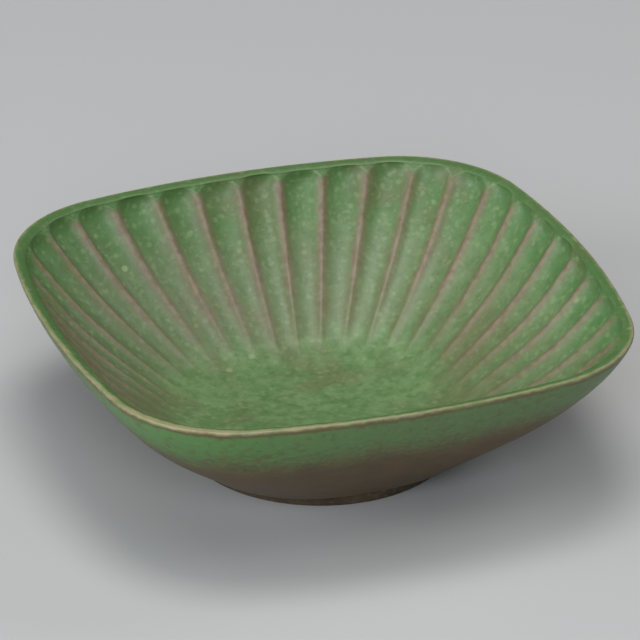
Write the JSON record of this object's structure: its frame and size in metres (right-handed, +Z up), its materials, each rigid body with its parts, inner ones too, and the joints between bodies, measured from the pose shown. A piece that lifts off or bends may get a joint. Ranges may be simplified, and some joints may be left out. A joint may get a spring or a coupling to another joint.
{
  "type": "mukozuke dish",
  "caption": "Square stoneware serving dish with rounded corners, scooped flutes inside, green glaze fading to brown clay, on a round foot ring.",
  "frame": {"origin": "centre of the foot ring on the surface that the dish stands on", "axes": "+Z up along the dish's axis, X and Y square to its four sides"},
  "size_m": [0.1612, 0.1612, 0.0495],
  "materials": {
    "glaze": "satin, speckled",
    "foot_clay": "matte"
  },
  "bodies": {
    "root": {"dish_body": "glaze", "foot_ring": "foot_clay"}
  },
  "joints": []
}
